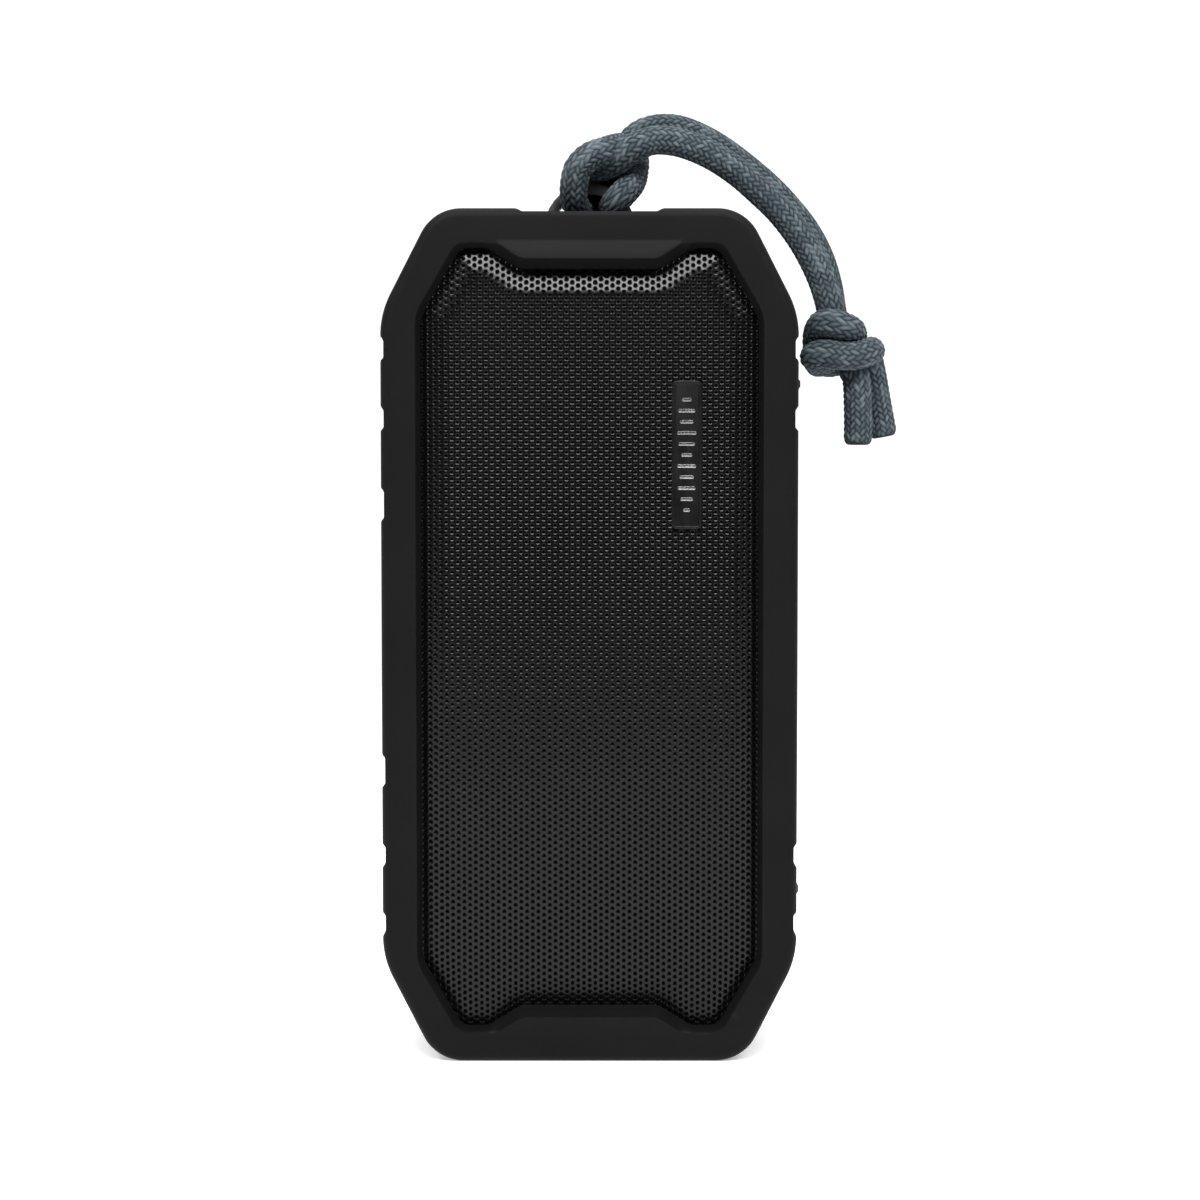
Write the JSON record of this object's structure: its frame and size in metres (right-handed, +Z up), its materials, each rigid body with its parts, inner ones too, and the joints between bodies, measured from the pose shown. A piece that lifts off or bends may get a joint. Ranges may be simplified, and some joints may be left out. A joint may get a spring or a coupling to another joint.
{
  "type": "shower speaker",
  "caption": "Rugged upright speaker in a rubber bumper with a perforated metal grille, side buttons, rear passive radiator, hinged port cover and braided lanyard.",
  "frame": {"origin": "middle of the footprint, on the surface that the speaker stands on when it stands on its end", "axes": "+Z up along the body's longest side, front grille facing -Y, buttons on the -X side"},
  "size_m": [0.0996, 0.046, 0.1803],
  "materials": {
    "bumper_rubber": "soft-touch matte black moulded rubber",
    "housing_plastic": "fine-textured black moulded plastic",
    "seal_rubber": "smooth black rubber",
    "button_rubber": "matte black rubber",
    "grille_metal": "glossy black powder-coated perforated steel",
    "grille_cloth": "fine black woven mesh",
    "badge_gloss": "gloss black",
    "basket_metal": "black painted pressed steel",
    "magnet_steel": "plated steel",
    "coil_copper": "enamelled copper winding",
    "spider_cloth": "resin-treated woven cloth",
    "cone_paper": "black treated paper",
    "radiator_metal": "black anodised aluminium",
    "battery_wrap": "blue shrink wrap",
    "circuit_board": "green solder mask",
    "board_parts": "moulded components",
    "screw_steel": "plated steel",
    "light_pipe": "clear moulded plastic",
    "lead_wire": "flexible insulated wire",
    "lanyard_cord": "slate grey braided polyester cord"
  },
  "bodies": {
    "root": {"bumper": "bumper_rubber", "front_housing": "housing_plastic", "rear_housing": "housing_plastic", "housing_seal": "seal_rubber", "grille": "grille_metal", "grille_cloth": "grille_cloth", "badge": "badge_gloss", "upper_basket": "basket_metal", "upper_magnet": "magnet_steel", "upper_spider": "spider_cloth", "upper_surround": "seal_rubber", "lower_basket": "basket_metal", "lower_magnet": "magnet_steel", "lower_spider": "spider_cloth", "lower_surround": "seal_rubber", "driver_screws": "screw_steel", "radiator_frame": "housing_plastic", "radiator_surround": "seal_rubber", "battery_pack": "battery_wrap", "battery_tray": "housing_plastic", "main_board": "circuit_board", "main_board_parts": "board_parts", "board_screws": "screw_steel", "port_board": "circuit_board", "charging_socket": "screw_steel", "aux_socket": "housing_plastic", "port_hinge_pin": "screw_steel", "button_board": "circuit_board", "button_switches": "board_parts", "status_light": "light_pipe", "speaker_leads": "lead_wire", "battery_lead": "lead_wire", "lanyard_lug": "housing_plastic", "lug_screws": "screw_steel", "housing_screws": "screw_steel", "lanyard_hitch": "lanyard_cord", "lanyard_front_strand": "lanyard_cord", "lanyard_rear_strand": "lanyard_cord", "lanyard_knot": "lanyard_cord", "lanyard_left_tail": "lanyard_cord", "lanyard_right_tail": "lanyard_cord"},
    "upper_cone_body": {"upper_voice_coil": "coil_copper", "upper_cone": "cone_paper", "upper_dust_cap": "cone_paper"},
    "lower_cone_body": {"lower_voice_coil": "coil_copper", "lower_cone": "cone_paper", "lower_dust_cap": "cone_paper"},
    "radiator_body": {"radiator_plate": "radiator_metal"},
    "port_cover_body": {"port_cover": "seal_rubber"},
    "power_button_body": {"power_button": "button_rubber"},
    "volume_down_button_body": {"volume_down_button": "button_rubber"},
    "play_button_body": {"play_button": "button_rubber"},
    "volume_up_button_body": {"volume_up_button": "button_rubber"}
  },
  "joints": [
    {"name": "power_button_press", "type": "slide", "parent": "root", "child": "power_button_body", "axis": [1, 0, 0], "range_m": [0, 0.0005], "stiffness_N_per_m": 800, "springref_m": -0.0005},
    {"name": "volume_down_button_press", "type": "slide", "parent": "root", "child": "volume_down_button_body", "axis": [1, 0, 0], "range_m": [0, 0.0005], "stiffness_N_per_m": 800, "springref_m": -0.0005},
    {"name": "play_button_press", "type": "slide", "parent": "root", "child": "play_button_body", "axis": [1, 0, 0], "range_m": [0, 0.0005], "stiffness_N_per_m": 800, "springref_m": -0.0005},
    {"name": "volume_up_button_press", "type": "slide", "parent": "root", "child": "volume_up_button_body", "axis": [1, 0, 0], "range_m": [0, 0.0005], "stiffness_N_per_m": 800, "springref_m": -0.0005},
    {"name": "upper_cone_stroke", "type": "slide", "parent": "root", "child": "upper_cone_body", "axis": [0, -1, 0], "range_m": [-0.0008, 0.0008], "stiffness_N_per_m": 900, "deforming": ["upper_surround", "upper_spider"]},
    {"name": "lower_cone_stroke", "type": "slide", "parent": "root", "child": "lower_cone_body", "axis": [0, -1, 0], "range_m": [-0.0008, 0.0008], "stiffness_N_per_m": 900, "deforming": ["lower_surround", "lower_spider"]},
    {"name": "radiator_stroke", "type": "slide", "parent": "root", "child": "radiator_body", "axis": [0, 1, 0], "range_m": [-0.0012, 0.0012], "stiffness_N_per_m": 700, "deforming": ["radiator_surround"]},
    {"name": "port_cover_hinge", "type": "hinge", "parent": "root", "child": "port_cover_body", "pos_m": [0, 0.0189, 0.019], "axis": [-1, 0, 0], "range_deg": [0, 100]}
  ]
}
